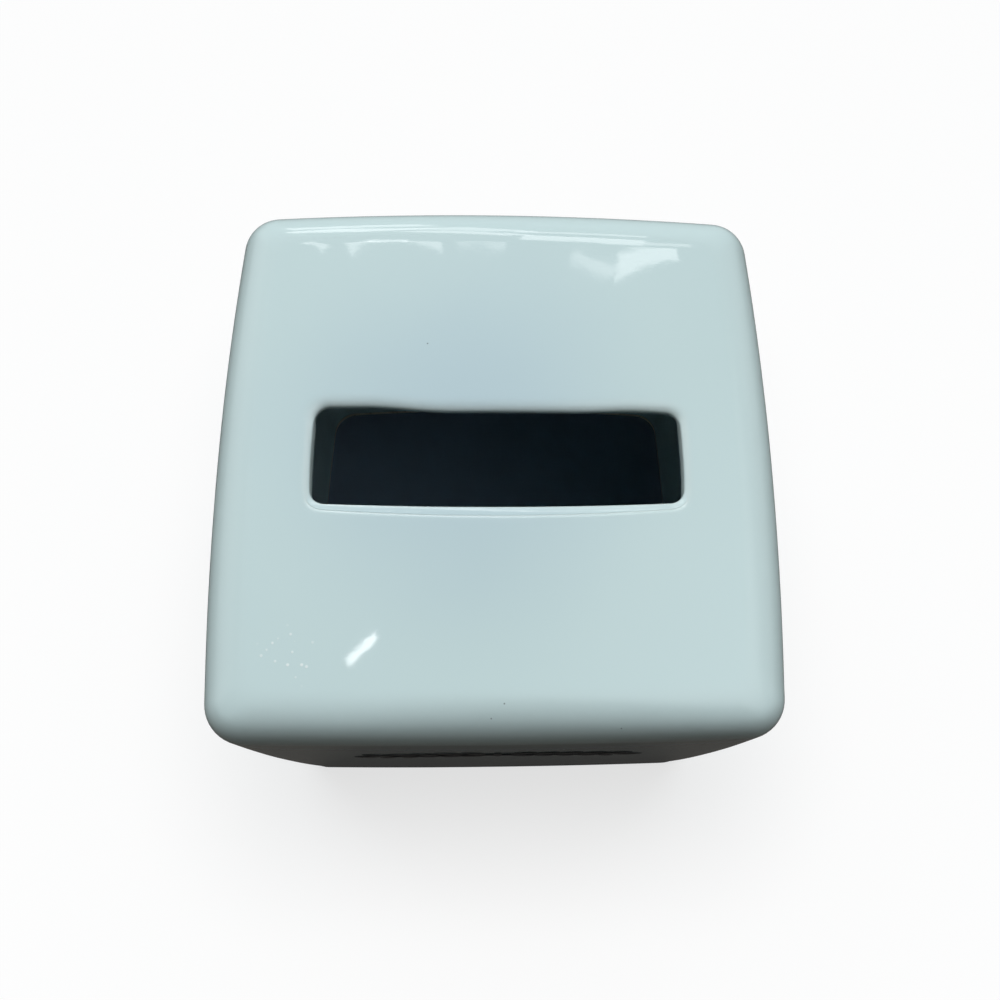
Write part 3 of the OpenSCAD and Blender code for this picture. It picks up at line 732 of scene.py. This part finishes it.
bumper, sizes = new_tree("bumper_pad", {"Middle": "Vector", "Diameter": "Float", "Height": "Float",
                                        "Squareness": "Float", "Material": "Material"})
ball = add(bumper, "GeometryNodeMeshUVSphere", {"Segments": 64, "Rings": 32, "Radius": 1.0})
at = add(bumper, "ShaderNodeSeparateXYZ", {0: add(bumper, "GeometryNodeInputPosition")}).outputs
known = dict(sizes.items()) | dict(at.items())
for title, operation, *terms in (
        ("x squared", "MULTIPLY", "X", "X"),
        ("reach", "MULTIPLY_ADD", "Y", "Y", "x squared"),
        ("reach", "SQRT", "reach"),
        ("reach", "MAXIMUM", "reach", 1e-6),
        ("power", "SUBTRACT", "Squareness", 1.0),
        ("wide", "POWER", "reach", "power"),
        ("wide", "MULTIPLY", "wide", "Diameter"),
        ("wide", "MULTIPLY", "wide", 0.5),
        ("disc x", "MULTIPLY", "X", "wide"),
        ("disc y", "MULTIPLY", "Y", "wide"),
        ("tall", "ABSOLUTE", "Z"),
        ("tall", "POWER", "tall", "Squareness"),
        ("side", "SIGN", "Z"),
        ("tall", "MULTIPLY", "tall", "side"),
        ("tall", "MULTIPLY", "tall", "Height"),
        ("disc z", "MULTIPLY", "tall", 0.5)):
    inputs = {place: known.get(term, term) for place, term in enumerate(terms)}
    known[title] = add(bumper, "ShaderNodeMath", inputs, operation=operation)
squared = add(bumper, "ShaderNodeCombineXYZ", {"X": known["disc x"], "Y": known["disc y"],
                                               "Z": known["disc z"]})
disc = add(bumper, "GeometryNodeSetPosition", {
    "Geometry": ball, "Position": add(bumper, "ShaderNodeVectorMath", {0: squared, 1: sizes["Middle"]})})
disc = add(bumper, "GeometryNodeSetShadeSmooth", {"Geometry": disc})
close_tree(bumper, disc, sizes["Material"])

for corner in ("front_left", "front_right", "back_left", "back_right"):
    low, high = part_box("foot_pad_" + corner)
    pad = piece("bumper_" + corner, bpy.data.meshes.new("bumper_" + corner))
    grow(pad, bumper, {"Middle": (low + high) / 2, "Diameter": high.x - low.x, "Height": high.z - low.z,
                       "Squareness": 0.3, "Material": pad_material})
    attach(pad, "root")
    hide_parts("foot_pad_" + corner)


# The studio. A plain pale floor, a wide soft window behind the cover, dim pale walls to its left
# and right and little light from the front, as in the photograph.

floor_half = 4.0             # metres
floor = piece("studio_floor", bpy.data.meshes.new("studio_floor"))
floor.data.from_pydata([(x, y, 0) for x, y in ((-floor_half, -floor_half), (floor_half, -floor_half),
                                              (floor_half, floor_half), (-floor_half, floor_half))],
                       [], [(0, 1, 2, 3)])
# The camera sees the open floor pale. What it throws back onto the cover is as dark and warm as the
# counter that the cover's low edges show in the photograph. Under the cover it is painted a darker blue
# grey with no white added: painted shade for the dim inside of the cover.
paper, tree = new_material("pale_studio_paper")
place = add(tree, "ShaderNodeTexCoord").outputs["Object"]
light_path = add(tree, "ShaderNodeLightPath").outputs
from_middle = add(tree, "ShaderNodeVectorMath", {0: place}, operation="ABSOLUTE")
cavity_half = Vector((half_width - skin_wall, half_depth - skin_wall, 0))
past_wall = add(tree, "ShaderNodeVectorMath", {0: from_middle, 1: cavity_half}, operation="SUBTRACT")
outside_wall = add(tree, "ShaderNodeVectorMath", {0: past_wall, 1: (0, 0, 0)}, operation="MAXIMUM")
away = add(tree, "ShaderNodeVectorMath", {0: outside_wall}, operation="LENGTH").outputs["Value"]
uncovered = add(tree, "ShaderNodeMath", {0: away, 1: 0.5 * MM}, operation="GREATER_THAN")
open_seen = add(tree, "ShaderNodeMath", {0: light_path["Is Camera Ray"], 1: uncovered}, operation="MULTIPLY")
# Under the cover, painted shade in a darker blue grey. On the open floor, the dark bounce colour.
bounce_and_painted_shade_colour = add(tree, "ShaderNodeMix", {"Factor_Float": uncovered, "A_Color": srgb("#8FA0B4"),
                                            "B_Color": srgb("#544E48")}, data_type="RGBA")
floor_colour = add(tree, "ShaderNodeMix", {"Factor_Float": open_seen, "A_Color": bounce_and_painted_shade_colour.outputs[2],
                                           "B_Color": srgb("#F4F5F5")}, data_type="RGBA")
grey = add(tree, "ShaderNodeBsdfDiffuse", {"Color": floor_colour.outputs[2], "Roughness": 1.0})
white = add(tree, "ShaderNodeEmission", {"Color": (1, 1, 1, 1), "Strength": 1.0})
open_floor = add(tree, "ShaderNodeMapRange", {"Value": away, "From Min": 0.0, "From Max": 0.07,
                                              "To Min": 0.7, "To Max": 0.93},
                 interpolation_type="SMOOTHSTEP")
seen = add(tree, "ShaderNodeMath", {0: light_path["Is Camera Ray"], 1: light_path["Is Transmission Ray"]},
           operation="MAXIMUM")
mirrored = add(tree, "ShaderNodeMath", {0: light_path["Is Glossy Ray"], 1: 0.04}, operation="MULTIPLY")
seen = add(tree, "ShaderNodeMath", {0: seen, 1: mirrored}, operation="MAXIMUM")
share = add(tree, "ShaderNodeMath", {0: seen, 1: open_floor}, operation="MULTIPLY")
share = add(tree, "ShaderNodeMath", {0: share, 1: uncovered}, operation="MULTIPLY")
add(tree, "ShaderNodeOutputMaterial", {"Surface": add(tree, "ShaderNodeMixShader",
                                                      {0: share, 1: grey, 2: white})})
floor.data.materials.append(paper)


def towards(azimuth, elevation):
    """The direction at an azimuth, in degrees from +Y towards +X, and an elevation."""
    a, e = math.radians(azimuth), math.radians(elevation)
    return Vector((math.sin(a) * math.cos(e), math.cos(a) * math.cos(e), math.sin(e)))


world = bpy.data.worlds.new("studio_room")
scene.world = world
world.use_nodes = True
tree = world.node_tree
tree.nodes.clear()
look = add(tree, "ShaderNodeTexCoord").outputs["Generated"]
room = 0.015                 # the dim room all round, to which the pale walls and the ceiling add
for azimuth, elevation, inner, outer, glow in ((-66, 18, 5, 40, 0.85), (76, 18, 5, 36, 0.55),
                                               (95, 64, 4, 30, 1.25), (-35, 28, 4, 30, 0.18),
                                               (-20, 64, 4, 26, 0.35)):
    near = add(tree, "ShaderNodeVectorMath", {0: look, 1: towards(azimuth, elevation)},
               operation="DOT_PRODUCT").outputs["Value"]
    patch = add(tree, "ShaderNodeMapRange", {
        "Value": near, "From Min": math.cos(math.radians(outer)), "From Max": math.cos(math.radians(inner)),
        "To Max": glow}, interpolation_type="SMOOTHSTEP")
    room = add(tree, "ShaderNodeMath", {0: room, 1: patch})
room_light = add(tree, "ShaderNodeBackground", {"Color": srgb("#F2F6F6"), "Strength": room})
room_seen = add(tree, "ShaderNodeBackground", {"Color": (1, 1, 1, 1), "Strength": 1.0})
light_path = add(tree, "ShaderNodeLightPath").outputs
seen = add(tree, "ShaderNodeMath", {0: light_path["Is Camera Ray"], 1: light_path["Is Transmission Ray"]},
           operation="MAXIMUM")
add(tree, "ShaderNodeOutputWorld", {"Surface": add(tree, "ShaderNodeMixShader",
                                                   {0: seen, 1: room_light, 2: room_seen})})


def area_light(name, start, end, height, facing, radiance, colour="#FFFFFF", glossy=True, diffuse=True):
    """A rectangular lamp from start to end along its middle, turned to a point. Its power follows
    from how bright it looks."""
    start, end, facing = Vector(start), Vector(end), Vector(facing)
    centre = (start + end) / 2
    across = (end - start).normalized()
    back = centre - facing
    back = (back - back.dot(across) * across).normalized()
    lamp = bpy.data.lights.new(name, "AREA")
    lamp.shape = "RECTANGLE"
    lamp.size, lamp.size_y = (end - start).length, height
    lamp.energy = radiance * math.pi * lamp.size * lamp.size_y
    lamp.color = srgb(colour)[:3]
    made = bpy.data.objects.new(name, lamp)
    scene.collection.objects.link(made)
    made.matrix_world = (Matrix.Translation(centre)
                         @ Matrix((across, back.cross(across), back)).transposed().to_4x4())
    made.visible_camera = False
    made.visible_glossy = glossy
    made.visible_diffuse = diffuse


middle = Vector((0, 0, cover_top))
window_y = 1.5               # the window wall, in metres behind the cover


def on_wall(x, z):
    """A place on the window wall."""
    return Vector((x, window_y, z))


# The window lights the glaze, and narrow lamps on its wall are what the glaze mirrors of it: the sill,
# the transom, the arched and broken streaks over it and a half-drawn blind on the right.
area_light("window", on_wall(-2.0, 2.5), on_wall(1.8, 2.5), 1.5, middle, 4.65, "#F8FCFF", glossy=False)
for name, left, right, height, glow in (("sill_left", (-0.43, 0.78), (-0.13, 0.72), 0.22, 3.0),
                                        ("sill_middle", (-0.13, 1.02), (0.05, 1.52), 0.16, 3.0),
                                        ("sill_right", (0.05, 1.57), (0.37, 1.60), 0.20, 2.6),
                                        ("transom_left", (-0.43, 1.05), (-0.20, 1.30), 0.26, 4.2),
                                        ("transom_middle", (-0.18, 1.45), (0.08, 2.15), 0.14, 3.6),
                                        ("transom_right", (0.08, 2.22), (0.43, 2.31), 0.14, 4.2),
                                        ("upper_curl", (-0.54, 2.38), (-0.50, 2.54), 0.035, 3.4),
                                        ("arch_left", (-0.43, 2.51), (-0.34, 2.41), 0.035, 3.6),
                                        ("arch_top", (-0.36, 2.395), (-0.25, 2.405), 0.045, 4.2),
                                        ("arch_right", (-0.27, 2.415), (-0.157, 2.468), 0.022, 3.4),
                                        ("upper_middle", (-0.11, 2.452), (0.03, 2.452), 0.012, 2.6),
                                        ("upper_right", (0.43, 2.36), (0.56, 2.32), 0.05, 2.6),
                                        ("blind_left", (0.24, 2.50), (0.38, 2.59), 0.022, 2.8),
                                        ("blind_right", (0.38, 2.57), (0.55, 2.51), 0.065, 4.4)):
    area_light(name, on_wall(*left), on_wall(*right), height, middle, glow, diffuse=False)
area_light("tube_lamp", (-0.250, 0.130, 1.613), (-0.209, 0.161, 1.614), 0.014, (-0.031, -0.049, cover_top),
           11.0, diffuse=False)

# The camera, from the outline of the cover and the corners of its slot in the photograph.
camera_place = Vector((-1.13, -81.10, 365.04)) * MM
pitch, yaw, roll = math.radians(71.268), math.radians(8.435), math.radians(8.036)
focal_px, middle_x_px, middle_y_px, picture_px = 996.65, 540.6, 467.2, 1000
ahead = Vector((math.sin(yaw) * math.cos(pitch), math.cos(yaw) * math.cos(pitch), -math.sin(pitch)))
level_right = ahead.cross(Vector((0, 0, 1))).normalized()
level_up = level_right.cross(ahead)
right = math.cos(roll) * level_right + math.sin(roll) * level_up
up = math.cos(roll) * level_up - math.sin(roll) * level_right
camera = bpy.data.objects.new("camera", bpy.data.cameras.new("camera"))
scene.collection.objects.link(camera)
camera.matrix_world = Matrix.Translation(camera_place) @ Matrix((right, up, -ahead)).transposed().to_4x4()
camera.data.sensor_width = 36
camera.data.lens = focal_px / picture_px * camera.data.sensor_width
camera.data.shift_x = (picture_px / 2 - middle_x_px) / picture_px
camera.data.shift_y = (middle_y_px - picture_px / 2) / picture_px
camera.data.clip_start = 0.01
scene.camera = camera
